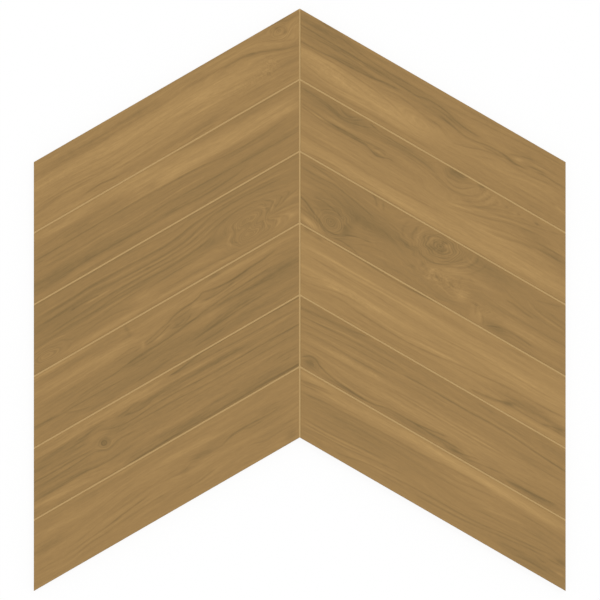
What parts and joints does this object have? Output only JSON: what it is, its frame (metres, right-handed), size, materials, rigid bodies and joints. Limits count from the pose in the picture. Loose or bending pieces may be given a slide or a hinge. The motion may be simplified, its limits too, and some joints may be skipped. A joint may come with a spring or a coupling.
{
  "type": "porcelain tile chevron sheet",
  "caption": "Flat chevron sheet of wood-look porcelain tile: mitred planks in mirrored columns joined by tan filler, laid on a floor or wall.",
  "frame": {"origin": "below the middle of the sheet's outline, in the plane of the back's pads", "axes": "+Z out of the printed face, +Y along the centre joint towards the point of the chevrons, +X across the sheet"},
  "size_m": [0.3762, 0.412, 0.008],
  "materials": {
    "printed_porcelain": "matte",
    "joint_filler": "matte"
  },
  "bodies": {
    "root": {"plank_left_1": "printed_porcelain", "plank_left_2": "printed_porcelain", "plank_left_3": "printed_porcelain", "plank_left_4": "printed_porcelain", "plank_left_5": "printed_porcelain", "plank_left_6": "printed_porcelain", "plank_right_1": "printed_porcelain", "plank_right_2": "printed_porcelain", "plank_right_3": "printed_porcelain", "plank_right_4": "printed_porcelain", "plank_right_5": "printed_porcelain", "plank_right_6": "printed_porcelain", "joint_filler": "joint_filler"}
  },
  "joints": []
}
